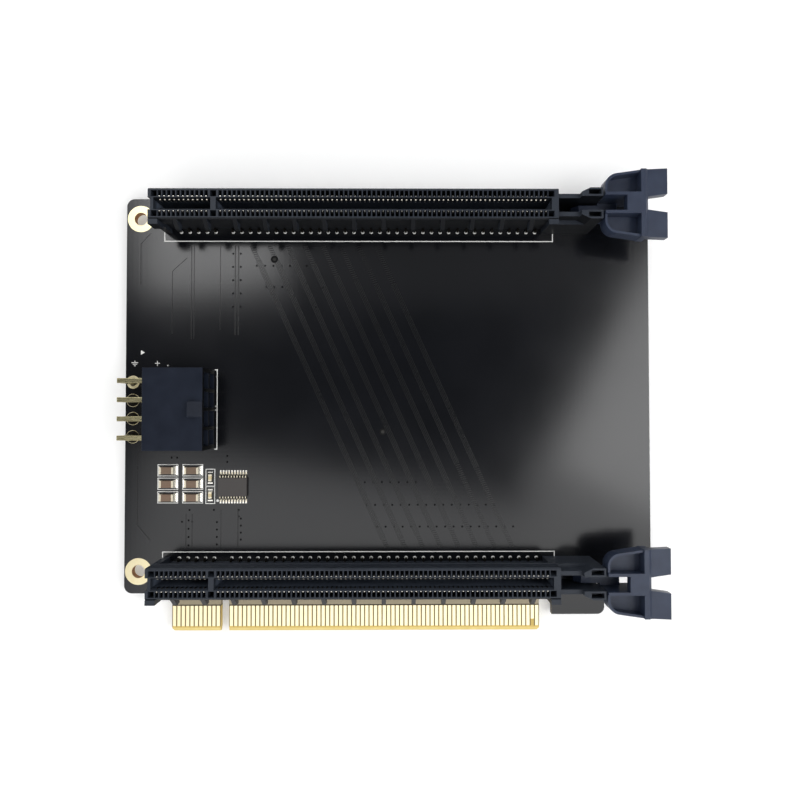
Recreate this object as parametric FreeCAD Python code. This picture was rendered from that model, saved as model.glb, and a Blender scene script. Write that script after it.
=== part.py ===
"""A riser card that splits one x16 edge connector into two x16 card slots.

Millimetres. The origin is midway between the two mounting holes, on the underside of the board.
+X runs along the slots towards their latches, +Y towards the upper slot, +Z out of the component side.
"""
import FreeCAD, Part
import math
import os
from FreeCAD import Placement, Rotation, Vector

# Contact pattern, shared by the edge connector and both slots
contact_pitch = 1.0
contacts_before_key = 11
contacts_after_key = 71
key_span = 3.0                  # from the last contact before the key to the first one after it
first_contact_x = 8.35
slot_spacing = 81.28            # four card positions

# Board
board_thickness = 1.6
board_left = 3.25               # past the mounting holes
board_right = 117.75
board_above_upper_slot = 4.66
board_below_lower_slot = 5.0
board_corner_radius = 1.8
tab_side_margin = 0.55          # past the outermost contacts
tab_length = 8.55
tab_corner_chamfer = 0.5
key_notch_width = 1.9
key_notch_depth = 7.5
bevel_length = 1.0
bevel_depth = 0.35
hook_gap = 2.95                 # between the contact tab and the retention hook
hook_width = 12.1
hook_length = 4.95
hook_toe_radius = 1.7
hook_toe_reach = 3.3            # how far the toe reaches past the hook's stem
hook_toe_height = 4.2
corner_cut_height = 5.0         # how far the cut corner reaches above the board's lower edge
corner_cut_radius = 1.0
mounting_hole_diameter = 3.0
mounting_pad_diameter = 6.1
copper_thickness = 0.05
finger_width = 0.7
finger_top_margin = 2.85        # from the board's lower edge to the top of the fingers
finger_length = 4.6
short_finger_cut = 1.5          # the second last finger makes contact late
short_finger_from_end = 1

# Slot housing, heights above the board
slot_height = 11.25
slot_end_margin = 2.5           # from the first contact to the housing's left end
slot_tail_margin = 2.8          # from the last contact to the right end of the head
head_half_width = 3.35
head_edge_chamfer = 0.3
head_height = 3.85              # the wide head of the T-shaped section
stem_half_width = 2.3
foot_length = 1.4
card_slot_half_width = 0.95
card_slot_mouth_half_width = 1.3
card_slot_mouth_depth = 0.7
card_slot_floor = 3.3
card_slot_end_margin = 1.3      # past the outermost contacts
end_notch_depth = 0.55          # the slot's left end is set back between the rails
key_width = 1.15
cell_width = 0.74
cell_inner = 1.5
cell_length = 1.3
cell_depth = 3.3
end_cell_width = 1.3
end_cell_offset = 1.2           # from the outermost contact to the middle of the end cell
rib_reach = 1.65                # how far the outer side's ribs stand out past the head
rib_drop = 2.4
rib_width = 0.9
rib_count = 13
rib_end_margin = 5.65           # from the head's ends to the outermost ribs' middles
ear_length = 2.1                # the block at either end of the row of ribs
ear_reach = 1.1
peg_diameter = 2.3
peg_clearance = 0.08
peg_projection = 1.2            # below the board
tower_peg_from_head = 3.1

# Latch tower, which continues the slot housing
tower_length = 9.4
tower_base_height = 7.4
tower_arm_height = 10.4
tower_arm_thickness = 0.95
tower_floor = 1.6
tower_post_length = 4.6
tower_post_slope = 1.9
tower_post_height = 11.9
tower_post_wall = 0.4
post_pocket_depth = 2.5
channel_half_width = 1.5

# Latch
pivot_from_tower_end = 1.7
pivot_height = 4.4
pivot_radius = 1.0
pivot_clearance = 0.06
pivot_length = 1.5
pivot_wall = 0.3
hub_clearance = 0.3
hub_height = 6.3
hub_bottom = 2.5
nose_reach = 3.4                # from the pivot towards the slot
nose_floor = 3.8
nose_height = 0.8
nose_slope_length = 1.4
nose_slope_height = 1.6
latch_gap = 0.4                 # between the tower and the wide part of the latch
latch_web_length = 4.3
latch_web_bottom = 4.4
side_plate_inner = 1.65
side_plate_thickness = 0.65
side_plate_height = 12.3
lobe_length = 7.6
lobe_half_width = 6.1
lobe_flare = 1.1
lobe_corner_radius = 2.8
lobe_bottom = 8.2
lobe_height = 11.8
lobe_rim = 0.5
lobe_floor_thickness = 1.0
cross_wall_length = 3.0
cross_wall_bottom = 10.3
crossbar_length = 1.6
crossbar_half_width = 7.3
crossbar_bottom = 8.0
crossbar_height = 12.3
crossbar_slope_length = 0.6
prong_length = 4.2
prong_thickness = 2.0
prong_half_width = 7.5
prong_notch_root = 1.4
prong_notch_mouth = 2.0

# Power header
header_back = 4.25
header_depth = 13.1
header_middle_y = -3.5
header_columns = 4
header_rows = 2
header_pitch = 4.2
header_cell = 3.4
header_end_wall = 1.0
header_first_row = 2.7
header_height = 9.6
header_cell_depth = 9.0
header_ramp_length = 3.0
header_ramp_width = 3.4
header_ramp_height = 1.3
pin_side = 1.07
pin_fit = 0.02
pin_reach_in_cell = 5.5
pin_leg_x = (3.5, -1.55)       # lower row, upper row
pin_hole_diameter = 1.9
pin_projection = 1.0            # below the board

# Small parts
capacitor_size = (3.2, 1.6, 1.3)
capacitor_columns_x = (6.6, 12.3)
capacitor_first_y = -17.5
capacitor_rows = 3
capacitor_row_pitch = 3.1
resistor_size = (0.8, 1.6, 0.45)
resistor_x = 16.35
resistor_first_y = -19.2
resistor_pitch = 4.0
resistor_count = 2
terminal_length = 0.45
terminal_proud = 0.03
chip_middle = (21.65, -21.3)
chip_size = (6.5, 4.4, 1.0)
chip_standoff = 0.1
chip_draft = 0.12
chip_lead_pitch = 0.65
chip_leads_per_side = 10
chip_lead_width = 0.24
chip_lead_thickness = 0.15
chip_lead_span = 6.9
chip_lead_foot = 0.5

# Places that follow from the sizes above
upper_slot_y = slot_spacing / 2
lower_slot_y = -slot_spacing / 2
board_upper_y = upper_slot_y + board_above_upper_slot
board_lower_y = lower_slot_y - board_below_lower_slot
contact_span = (contacts_before_key + contacts_after_key - 2) * contact_pitch + key_span
last_contact_x = first_contact_x + contact_span
key_x = first_contact_x + (contacts_before_key - 1) * contact_pitch + key_span / 2
tab_end_y = board_lower_y - tab_length
head_start_x = first_contact_x - slot_end_margin
head_end_x = last_contact_x + slot_tail_margin
head_bottom = slot_height - head_height
tower_end_x = head_end_x + tower_length
post_start_x = tower_end_x - tower_post_length
pivot_x = tower_end_x - pivot_from_tower_end
tower_peg_x = head_end_x + tower_peg_from_head
cut_over = 1.0                  # how far a cutting tool runs past the face that it opens
cut_tolerance = 0.01            # keeps the notch's two corner arcs apart
small_round_sides = 6           # pegs and pin holes, which solder and housings hide


def box(x, y, z):
    """A block between the two values given for each axis."""
    return Part.makeBox(x[1] - x[0], y[1] - y[0], z[1] - z[0], Vector(x[0], y[0], z[0]))


def prism_along_x(section, x):
    """Extrude an outline of (y, z) points between two x values."""
    points = [Vector(x[0], y, z) for y, z in section]
    return Part.Face(Part.makePolygon(points + points[:1])).extrude(Vector(x[1] - x[0], 0, 0))


def prism_along_y(section, y):
    """Extrude an outline of (x, z) points between two y values."""
    points = [Vector(x, y[0], z) for x, z in section]
    return Part.Face(Part.makePolygon(points + points[:1])).extrude(Vector(0, y[1] - y[0], 0))


def rounded_plate(corners, z):
    """Extrude an outline of (x, y, radius) corners between two z values."""
    spans = []
    for i, (x, y, radius) in enumerate(corners):
        corner = Vector(x, y, z[0])
        before = (Vector(*corners[i - 1][:2], z[0]) - corner).normalize()
        after = (Vector(*corners[(i + 1) % len(corners)][:2], z[0]) - corner).normalize()
        half_angle = before.getAngle(after) / 2
        inset = radius / math.tan(half_angle)
        middle = corner + (before + after).normalize() * (radius / math.sin(half_angle) - radius)
        spans.append((corner + before * inset, middle, corner + after * inset, radius))
    edges = []
    for i, (start, middle, end, radius) in enumerate(spans):
        edges.append(Part.makeLine(spans[i - 1][2], start))
        if radius > 0:
            edges.append(Part.Arc(start, middle, end).toShape())
    return Part.Face(Part.Wire(edges)).extrude(Vector(0, 0, z[1] - z[0]))


def cylinder(x, y, diameter, z):
    """An upright cylinder between two z values."""
    return Part.makeCylinder(diameter / 2, z[1] - z[0], Vector(x, y, z[0]))


def small_round(x, y, diameter, z):
    """An upright round with few sides, for a peg or hole that stays out of sight."""
    corners = []
    for i in range(small_round_sides):
        angle = 2 * math.pi * i / small_round_sides
        corners.append((x + diameter / 2 * math.cos(angle), y + diameter / 2 * math.sin(angle), 0))
    return rounded_plate(corners, z)


def fuse_all(shapes):
    """One solid from pieces that touch or overlap."""
    return shapes[0].fuse(shapes[1:]).removeSplitter()


def mirrored(shape):
    """The same shape on the other side of the slot's centre plane."""
    return shape.mirror(Vector(0, 0, 0), Vector(0, 1, 0))


def placed(shape, y):
    """Move a shape made round a slot's own centre line onto the board."""
    return shape.translated(Vector(0, y, board_thickness))


def contact_xs():
    """The x of every contact, counted from the key end."""
    before = [first_contact_x + i * contact_pitch for i in range(contacts_before_key)]
    after = [before[-1] + key_span + i * contact_pitch for i in range(contacts_after_key)]
    return before + after


def board():
    """The laminate: contact tab with its key notch, retention hook, cut corner, bevel and holes."""
    tab = (first_contact_x - tab_side_margin, last_contact_x + tab_side_margin)
    notch = (key_x - key_notch_width / 2, key_x + key_notch_width / 2)
    notch_top = tab_end_y + key_notch_depth
    hook = (tab[1] + hook_gap, tab[1] + hook_gap + hook_width)
    hook_bottom = board_lower_y - hook_length
    stem_right = hook[1] - hook_toe_reach
    toe_top = hook_bottom + hook_toe_height
    cut_y = board_lower_y + corner_cut_height
    round_notch = key_notch_width / 2 - cut_tolerance
    outline = [
        (-board_left, board_lower_y, board_corner_radius),
        (tab[0], board_lower_y, 0),
        (tab[0], tab_end_y + tab_corner_chamfer, 0),
        (tab[0] + tab_corner_chamfer, tab_end_y, 0),
        (notch[0], tab_end_y, 0),
        (notch[0], notch_top, round_notch),
        (notch[1], notch_top, round_notch),
        (notch[1], tab_end_y, 0),
        (tab[1] - tab_corner_chamfer, tab_end_y, 0),
        (tab[1], tab_end_y + tab_corner_chamfer, 0),
        (tab[1], board_lower_y, 0),
        (hook[0], board_lower_y, 0),
        (hook[0], hook_bottom, 0),
        (hook[1], hook_bottom, hook_toe_radius),
        (hook[1], toe_top, 0),
        (stem_right, toe_top, 0),
        (stem_right, cut_y, corner_cut_radius),
        (board_right, cut_y, 0),
        (board_right, board_upper_y, board_corner_radius),
        (-board_left, board_upper_y, board_corner_radius),
    ]
    plate = rounded_plate(outline, (0, board_thickness))
    bevel_start_y = tab_end_y + bevel_length
    bevel_below = [(bevel_start_y, 0), (tab_end_y, bevel_depth), (tab_end_y, 0)]
    bevel_above = [(y, board_thickness - z) for y, z in bevel_below]
    tools = [prism_along_x(bevel, (tab[0] - cut_over, tab[1] + cut_over)) for bevel in (bevel_below, bevel_above)]
    through = (-cut_over, board_thickness + cut_over)
    for y in (upper_slot_y, lower_slot_y):
        tools.append(cylinder(0, y, mounting_hole_diameter, through))
        for x in (key_x, tower_peg_x):
            tools.append(small_round(x, y, peg_diameter + 2 * peg_clearance, through))
    for y in header_ys():
        for x in pin_leg_x:
            tools.append(small_round(x, y, pin_hole_diameter, through))
    return plate.cut(tools)


def edge_fingers(z):
    """One face's row of gold contact pads on the tab."""
    top = board_lower_y - finger_top_margin
    xs = contact_xs()
    pads = []
    for i, x in enumerate(xs):
        late = i == len(xs) - 1 - short_finger_from_end
        length = finger_length - (short_finger_cut if late else 0)
        pads.append(box((x - finger_width / 2, x + finger_width / 2), (top - length, top), z))
    return Part.makeCompound(pads)


def mounting_pads():
    """The gold ring round each mounting hole, on the component side."""
    z = (board_thickness, board_thickness + copper_thickness)
    rings = []
    for y in (upper_slot_y, lower_slot_y):
        rings.append(cylinder(0, y, mounting_pad_diameter, z).cut(cylinder(0, y, mounting_hole_diameter, z)))
    return Part.makeCompound(rings)


def contact_cell(x, width):
    """Cutter for one contact's cell on the +Y rail, its floor ramped down and outwards."""
    outer = cell_inner + cell_length
    section = [
        (cell_inner, slot_height + cut_over),
        (outer, slot_height + cut_over),
        (outer, slot_height - cell_depth),
        (cell_inner, slot_height),
    ]
    return prism_along_x(section, (x - width / 2, x + width / 2))


def card_slot(x):
    """Cutter for one stretch of the slot that takes the card's edge, with a flared mouth."""
    mouth_bottom = slot_height - card_slot_mouth_depth
    section = [
        (-card_slot_half_width, card_slot_floor),
        (card_slot_half_width, card_slot_floor),
        (card_slot_half_width, mouth_bottom),
        (card_slot_mouth_half_width, slot_height),
        (card_slot_mouth_half_width, slot_height + cut_over),
        (-card_slot_mouth_half_width, slot_height + cut_over),
        (-card_slot_mouth_half_width, slot_height),
        (-card_slot_half_width, mouth_bottom),
    ]
    return prism_along_x(section, x)


def head_section():
    """Outline across the slot's wide head, its two upper edges chamfered."""
    flank_top = slot_height - head_edge_chamfer
    top_half_width = head_half_width - head_edge_chamfer
    return [
        (-head_half_width, head_bottom),
        (head_half_width, head_bottom),
        (head_half_width, flank_top),
        (top_half_width, slot_height),
        (-top_half_width, slot_height),
        (-head_half_width, flank_top),
    ]


def outer_ribs():
    """The row of upright ribs on the head's outer side, open between them, and an ear at either end."""
    outer = -head_half_width - rib_reach
    section = [
        (-head_half_width, head_bottom),
        (-head_half_width, slot_height - head_edge_chamfer),
        (outer, slot_height - rib_drop),
        (outer, head_bottom),
    ]
    first = head_start_x + rib_end_margin - rib_width / 2
    pitch = (head_end_x - head_start_x - 2 * rib_end_margin) / (rib_count - 1)
    starts = [first + i * pitch for i in range(rib_count)]
    ribs = [prism_along_x(section, (start, start + rib_width)) for start in starts]
    ears = [(head_start_x, head_start_x + ear_length), (head_end_x - ear_length, head_end_x)]
    ear_width = (-head_half_width - ear_reach, -head_half_width)
    return ribs + [box(x, ear_width, (head_bottom, slot_height)) for x in ears]


def latch_tower():
    """The two walls past the slot's end, with hollow-topped posts that carry the latch's pivot."""
    base = box((head_end_x, tower_end_x), (-head_half_width, head_half_width), (0, tower_base_height))
    arm_half_width = channel_half_width + tower_arm_thickness
    arms = box((head_end_x, tower_end_x), (-arm_half_width, arm_half_width), (0, tower_arm_height))
    posts = rounded_plate(
        [
            (post_start_x, arm_half_width, 0),
            (post_start_x, -arm_half_width, 0),
            (post_start_x + tower_post_slope, -head_half_width, 0),
            (tower_end_x, -head_half_width, 0),
            (tower_end_x, head_half_width, 0),
            (post_start_x + tower_post_slope, head_half_width, 0),
        ],
        (0, tower_post_height),
    )
    channel = box(
        (head_end_x, tower_end_x + cut_over),
        (-channel_half_width, channel_half_width),
        (tower_floor, tower_post_height + cut_over),
    )
    pocket = box(
        (post_start_x + tower_post_slope - tower_post_wall, tower_end_x - tower_post_wall),
        (channel_half_width + tower_post_wall, head_half_width - tower_post_wall),
        (tower_post_height - post_pocket_depth, tower_post_height + cut_over),
    )
    socket_reach = channel_half_width - hub_clearance + pivot_length + pivot_wall
    socket = Part.makeCylinder(
        pivot_radius + pivot_clearance,
        2 * socket_reach,
        Vector(pivot_x, -socket_reach, pivot_height),
        Vector(0, 1, 0),
    )
    return fuse_all([base, arms, posts]).cut([channel, socket, pocket, mirrored(pocket)])


def slot_housing():
    """One moulding: T-shaped slot body, contact cells, ribbed side, feet, pegs and latch tower."""
    whole = (head_start_x, head_end_x)
    width = (-head_half_width, head_half_width)
    head = prism_along_x(head_section(), whole)
    stem = box(whole, (-stem_half_width, stem_half_width), (0, head_bottom))
    left_foot = box((head_start_x, head_start_x + foot_length), width, (0, head_bottom))
    right_foot = box((head_end_x - foot_length, head_end_x), width, (0, head_bottom))
    pegs = [
        small_round(x, 0, peg_diameter, (-board_thickness - peg_projection, 0))
        for x in (key_x, tower_peg_x)
    ]
    body = fuse_all([head, stem, left_foot, right_foot, latch_tower()] + outer_ribs() + pegs)
    slot_start = first_contact_x - card_slot_end_margin
    slot_end = last_contact_x + card_slot_end_margin
    tools = [
        card_slot((slot_start, key_x - key_width / 2)),
        card_slot((key_x + key_width / 2, slot_end)),
        box(
            (head_start_x - cut_over, head_start_x + end_notch_depth),
            (-card_slot_mouth_half_width, card_slot_mouth_half_width),
            (head_bottom, slot_height + cut_over),
        ),
    ]
    cells = [contact_cell(x, cell_width) for x in contact_xs()]
    for x in (first_contact_x - end_cell_offset, key_x, last_contact_x + end_cell_offset):
        cells.append(contact_cell(x, end_cell_width))
    tools += cells + [mirrored(cell) for cell in cells]
    return body.cut(tools)


def latch():
    """One moulding: pivoting hub with its nose, two pocketed lobes, crossbar and forked tail."""
    hub_half_width = channel_half_width - hub_clearance
    wide_start = tower_end_x + latch_gap
    web_end = wide_start + latch_web_length
    plate_outer = side_plate_inner + side_plate_thickness
    lobe_end = wide_start + lobe_length
    crossbar = (lobe_end, lobe_end + crossbar_length)
    prong_end = crossbar[1] + prong_length
    nose_x = pivot_x - nose_reach
    hub = prism_along_y(
        [
            (nose_x, nose_floor),
            (nose_x, nose_floor + nose_height),
            (nose_x + nose_slope_length, nose_floor + nose_height + nose_slope_height),
            (pivot_x, hub_height),
            (web_end, hub_height),
            (web_end, latch_web_bottom),
            (pivot_x + pivot_radius, hub_bottom),
            (pivot_x - pivot_radius, hub_bottom),
            (pivot_x - 2 * pivot_radius, nose_floor),
        ],
        (-hub_half_width, hub_half_width),
    )
    pivot_half_length = hub_half_width + pivot_length
    pivot = Part.makeCylinder(
        pivot_radius, 2 * pivot_half_length, Vector(pivot_x, -pivot_half_length, pivot_height), Vector(0, 1, 0)
    )
    web = box((wide_start, web_end), (-plate_outer, plate_outer), (latch_web_bottom, hub_height))
    side_plate = box((wide_start, lobe_end), (side_plate_inner, plate_outer), (latch_web_bottom, side_plate_height))
    lobe = rounded_plate(
        [
            (wide_start, plate_outer, 0),
            (lobe_end, plate_outer, 0),
            (lobe_end, lobe_half_width + lobe_flare, 0),
            (wide_start, lobe_half_width, lobe_corner_radius),
        ],
        (lobe_bottom, lobe_height),
    )
    pocket = rounded_plate(
        [
            (wide_start + lobe_rim, plate_outer, 0),
            (lobe_end, plate_outer, 0),
            (lobe_end, lobe_half_width + lobe_flare - lobe_rim, 0),
            (wide_start + lobe_rim, lobe_half_width - lobe_rim, lobe_corner_radius - lobe_rim),
        ],
        (lobe_bottom + lobe_floor_thickness, lobe_height + cut_over),
    )
    lobe = lobe.cut(pocket)
    prong = rounded_plate(
        [
            (crossbar[1], prong_notch_root, 0),
            (prong_end, prong_notch_mouth, 0),
            (prong_end, prong_half_width, 0),
            (crossbar[1], crossbar_half_width, 0),
        ],
        (lobe_height - prong_thickness, lobe_height),
    )
    bar = prism_along_y(
        [
            (crossbar[0], crossbar_bottom),
            (crossbar[0], crossbar_height),
            (crossbar[1] - crossbar_slope_length, crossbar_height),
            (crossbar[1], lobe_height),
            (crossbar[1], crossbar_bottom),
        ],
        (-crossbar_half_width, crossbar_half_width),
    )
    wall = box(
        (lobe_end - cross_wall_length, lobe_end),
        (-plate_outer, plate_outer),
        (cross_wall_bottom, side_plate_height),
    )
    halves = [side_plate, lobe, prong]
    return fuse_all([hub, pivot, web, wall, bar] + halves + [mirrored(half) for half in halves])


def header_ys():
    """The y of each column of the power header."""
    first = header_middle_y - (header_columns - 1) * header_pitch / 2
    return [first + i * header_pitch for i in range(header_columns)]


def header_zs():
    """The z of each row of the power header, lower row first."""
    return [board_thickness + header_first_row + i * header_pitch for i in range(header_rows)]


def power_header():
    """The header's shell: one square socket a pin, open at the front, and a lock ramp on top."""
    half_width = (header_columns - 1) * header_pitch / 2 + header_cell / 2 + header_end_wall
    front = header_back + header_depth
    top = board_thickness + header_height
    shell = box(
        (header_back, front),
        (header_middle_y - half_width, header_middle_y + half_width),
        (board_thickness, top),
    )
    ramp = prism_along_y(
        [(front, top), (front - header_ramp_length, top + header_ramp_height), (front - header_ramp_length, top)],
        (header_middle_y - header_ramp_width / 2, header_middle_y + header_ramp_width / 2),
    )
    tools = []
    half_cell = header_cell / 2
    half_pin = pin_side / 2 + pin_fit
    for y in header_ys():
        for z in header_zs():
            tools.append(
                box(
                    (front - header_cell_depth, front + cut_over),
                    (y - half_cell, y + half_cell),
                    (z - half_cell, z + half_cell),
                )
            )
            tools.append(
                box(
                    (header_back - cut_over, front - header_cell_depth + cut_over),
                    (y - half_pin, y + half_pin),
                    (z - half_pin, z + half_pin),
                )
            )
    return fuse_all([shell, ramp]).cut(tools)


def power_pin(y, z, leg_x):
    """A square pin from its socket out of the header's back and down through the board."""
    half = pin_side / 2
    tip = header_back + header_depth - header_cell_depth + pin_reach_in_cell
    section = [
        (tip, z - half),
        (tip, z + half),
        (leg_x - half, z + half),
        (leg_x - half, -pin_projection),
        (leg_x + half, -pin_projection),
        (leg_x + half, z - half),
    ]
    return prism_along_y(section, (y - half, y + half))


def chip_part(middle, size, along_y):
    """Body and end caps of a surface-mounted capacitor or resistor, lying along x or y."""
    length, width, height = (size[1], size[0], size[2]) if along_y else size
    inner = length / 2 - terminal_length
    half = width / 2
    body = box(
        (-inner, inner),
        (-half + terminal_proud, half - terminal_proud),
        (terminal_proud, height - terminal_proud),
    )
    caps = [
        box((inner, length / 2), (-half, half), (0, height)),
        box((-length / 2, -inner), (-half, half), (0, height)),
    ]
    spin = Rotation(Vector(0, 0, 1), 90 if along_y else 0)
    place = Placement(Vector(middle[0], middle[1], board_thickness), spin)
    return [shape.transformGeometry(place.toMatrix()) for shape in (body, Part.makeCompound(caps))]


def driver_chip():
    """The body of the small-outline chip, its sides drafted."""
    x, y = chip_middle
    length, width, height = chip_size
    lower = board_thickness + chip_standoff
    waist = lower + height / 2
    section = [
        (-width / 2 + chip_draft, lower),
        (width / 2 - chip_draft, lower),
        (width / 2, waist),
        (width / 2 - chip_draft, lower + height),
        (-width / 2 + chip_draft, lower + height),
        (-width / 2, waist),
    ]
    return prism_along_x([(y + across, z) for across, z in section], (x - length / 2, x + length / 2))


def driver_chip_leads():
    """The chip's legs: strips that slope from the waist of each long side to the board."""
    x, y = chip_middle
    side = chip_size[1] / 2
    first = x - (chip_leads_per_side - 1) * chip_lead_pitch / 2
    waist = board_thickness + chip_standoff + chip_size[2] / 2
    section = [
        (side, waist - chip_lead_thickness / 2),
        (chip_lead_span / 2 - chip_lead_foot, board_thickness),
        (chip_lead_span / 2, board_thickness),
        (side, waist + chip_lead_thickness / 2),
    ]
    leads = []
    for i in range(chip_leads_per_side):
        middle = first + i * chip_lead_pitch
        for sign in (1, -1):
            outline = [(y + sign * across, z) for across, z in section]
            leads.append(prism_along_x(outline, (middle - chip_lead_width / 2, middle + chip_lead_width / 2)))
    return Part.makeCompound(leads)


nodes = {
    "board": board(),
    "front_edge_fingers": edge_fingers((board_thickness, board_thickness + copper_thickness)),
    "back_edge_fingers": edge_fingers((-copper_thickness, 0)),
    "mounting_pads": mounting_pads(),
    "power_header": power_header(),
    "driver_chip": driver_chip(),
    "driver_chip_leads": driver_chip_leads(),
}

housing_shape = slot_housing()
latch_shape = latch()
for slot, slot_y in (("upper", upper_slot_y), ("lower", lower_slot_y)):
    nodes[f"{slot}_slot_housing"] = placed(housing_shape, slot_y)
    nodes[f"{slot}_slot_latch"] = placed(latch_shape, slot_y)

pin_number = 1
for row_z, row_leg_x in zip(header_zs(), pin_leg_x):
    for column_y in header_ys():
        nodes[f"power_pin_{pin_number}"] = power_pin(column_y, row_z, row_leg_x)
        pin_number += 1

capacitor_places = [
    (x, capacitor_first_y - row * capacitor_row_pitch)
    for x in capacitor_columns_x
    for row in range(capacitor_rows)
]
for number, place in enumerate(capacitor_places, 1):
    body, caps = chip_part(place, capacitor_size, False)
    nodes[f"capacitor_{number}"] = body
    nodes[f"capacitor_{number}_end_caps"] = caps

for number in range(1, resistor_count + 1):
    place = (resistor_x, resistor_first_y - (number - 1) * resistor_pitch)
    body, caps = chip_part(place, resistor_size, True)
    nodes[f"resistor_{number}"] = body
    nodes[f"resistor_{number}_end_caps"] = caps

os.makedirs("parts", exist_ok=True)
for name, shape in nodes.items():
    shape.exportStep(f"parts/{name}.step")
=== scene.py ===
"""Looks of a riser card with two card slots: its pieces and finishes, the floor, the light and the camera.

Metres in the frame's own axes. Shapes are drawn in millimetres and turned to metres when a piece is made.
"""
import math

import bmesh
import bpy
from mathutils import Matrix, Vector


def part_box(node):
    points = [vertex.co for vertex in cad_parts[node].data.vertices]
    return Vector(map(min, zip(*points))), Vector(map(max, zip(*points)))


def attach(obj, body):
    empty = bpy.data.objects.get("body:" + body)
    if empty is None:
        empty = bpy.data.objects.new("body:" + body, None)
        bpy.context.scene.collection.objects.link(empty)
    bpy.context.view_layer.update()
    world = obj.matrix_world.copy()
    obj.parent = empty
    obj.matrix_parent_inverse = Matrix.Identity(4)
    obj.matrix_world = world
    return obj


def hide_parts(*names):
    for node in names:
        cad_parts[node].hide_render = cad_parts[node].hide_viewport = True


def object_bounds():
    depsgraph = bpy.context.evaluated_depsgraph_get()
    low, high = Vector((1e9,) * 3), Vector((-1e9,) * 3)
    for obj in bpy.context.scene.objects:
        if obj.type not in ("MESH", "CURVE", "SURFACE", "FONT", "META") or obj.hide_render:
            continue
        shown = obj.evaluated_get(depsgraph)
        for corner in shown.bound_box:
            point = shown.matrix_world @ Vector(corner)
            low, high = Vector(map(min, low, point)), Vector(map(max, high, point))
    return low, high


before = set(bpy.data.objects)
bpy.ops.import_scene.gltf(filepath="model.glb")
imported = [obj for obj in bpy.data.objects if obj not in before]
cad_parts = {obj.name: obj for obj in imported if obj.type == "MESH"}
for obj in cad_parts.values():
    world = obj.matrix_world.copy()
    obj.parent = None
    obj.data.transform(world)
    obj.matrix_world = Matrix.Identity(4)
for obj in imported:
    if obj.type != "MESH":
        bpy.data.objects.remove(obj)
cad_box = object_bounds()

# Board: a multilayer glass-epoxy laminate, routed to its outline and coated with glossy black solder mask.
# The mask stops above the contact tab, which shows bare laminate down to its bevel. The other routed edges
# are a dark grey-brown.
mm = 0.001


def box_mm(node):
    """The lowest and highest corners of a CAD node, in millimetres."""
    low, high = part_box(node)
    return low / mm, high / mm


def linear(hex_colour):
    """An sRGB hex colour as linear red, green, blue and alpha."""
    channels = [int(hex_colour[i:i + 2], 16) / 255 for i in (1, 3, 5)]
    return [c / 12.92 if c <= 0.04045 else ((c + 0.055) / 1.055) ** 2.4 for c in channels] + [1.0]


def new_material(name):
    """A node material with an empty tree."""
    material = bpy.data.materials.new(name)
    material.use_nodes = True
    material.node_tree.nodes.clear()
    return material, material.node_tree


def add_node(tree, kind, inputs, **settings):
    """Add a node with its settings, input values and links, and hand back its outputs."""
    node = tree.nodes.new("ShaderNode" + kind)
    for name, value in settings.items():
        setattr(node, name, value)
    for name, value in inputs.items():
        if isinstance(value, bpy.types.NodeSocket):
            tree.links.new(value, node.inputs[name])
        else:
            node.inputs[name].default_value = value
    return node.outputs


def dress(node, material):
    """Put a material on a CAD node."""
    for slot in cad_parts[node].material_slots:
        slot.material = material


board_low, board_high = box_mm("board")
board_top = board_high.z
board_under = board_low.z
fingers_low, fingers_high = box_mm("front_edge_fingers")
bare_strip = 2.2                # laminate without mask above the contacts
tab_margin = 0.25               # laminate beside the outermost contacts
mask_end_y = fingers_high.y + bare_strip
tab_x = (fingers_low.x - tab_margin, fingers_high.x + tab_margin)
mask_colours = ("#08090b", "#101115")
laminate_colours = ("#d0b25e", "#f2e09a")
edge_colour = "#4d473c"         # routed edges away from the contacts, dark grey-brown
shaded_strip_colour = "#a2967c"        # etched laminate between the contacts and the slot, greyed by painted shade from the slot's head
shaded_gap_colour = "#7d6a3e"          # laminate between the contacts, painted darker as shade
line_colour = "#2e2410"         # a thin dark brown line along the contacts' upper ends
line_width = 0.28
contact_pitch = 1.0
finger_half = 0.35
glass_thread = 0.55             # spacing of the glass cloth's threads
laminate_layer = 0.2
resin_streak = 2.5
film_cloud = 14.0               # width of the patches where the film flowed thicker
flat_normal = 0.98              # faces that lean more than this are edges
mask_ior = 1.52
mask_roughness = (0.14, 0.2)    # from patch to patch of the film
laminate_roughness = 0.55
layer_wander = 0.6
cloth_relief = (0.1, 0.01)      # strength, and depth in millimetres

# Solder mask: a liquid film cured to a gloss. It mirrors the lamps softly, and the glass cloth just shows.
# Laminate: translucent straw-coloured resin, paler in streaks, with its layers showing on the bevel.
mask, tree = new_material("black_solder_mask_on_glass_epoxy")
place = add_node(tree, "TexCoord", {})
normal = add_node(tree, "SeparateXYZ", {"Vector": place["Normal"]})
point = add_node(tree, "SeparateXYZ", {"Vector": place["Object"]})
steepness = add_node(tree, "Math", {0: normal["Z"]}, operation="ABSOLUTE")
on_edge = add_node(tree, "Math", {0: steepness[0], 1: flat_normal}, operation="LESS_THAN")
below_mask = add_node(tree, "Math", {0: point["Y"], 1: mask_end_y * mm}, operation="LESS_THAN")
tab_middle = (tab_x[0] + tab_x[1]) / 2 * mm
tab_half = (tab_x[1] - tab_x[0]) / 2 * mm
across_tab = add_node(tree, "Math", {0: point["X"], 1: tab_middle, 2: tab_half}, operation="COMPARE")
on_tab = add_node(tree, "Math", {0: below_mask[0], 1: across_tab[0]}, operation="MULTIPLY")
bare = add_node(tree, "Math", {0: on_edge[0], 1: on_tab[0]}, operation="MAXIMUM")
streaked = {"Vector": place["Object"], "Scale": 1 / (resin_streak * mm), "Detail": 4.0}
streaks = add_node(tree, "TexNoise", streaked)
layer_scale = 1 / (2 * math.pi * laminate_layer * mm)
stack = {"Vector": place["Object"], "Scale": layer_scale, "Distortion": layer_wander}
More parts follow.
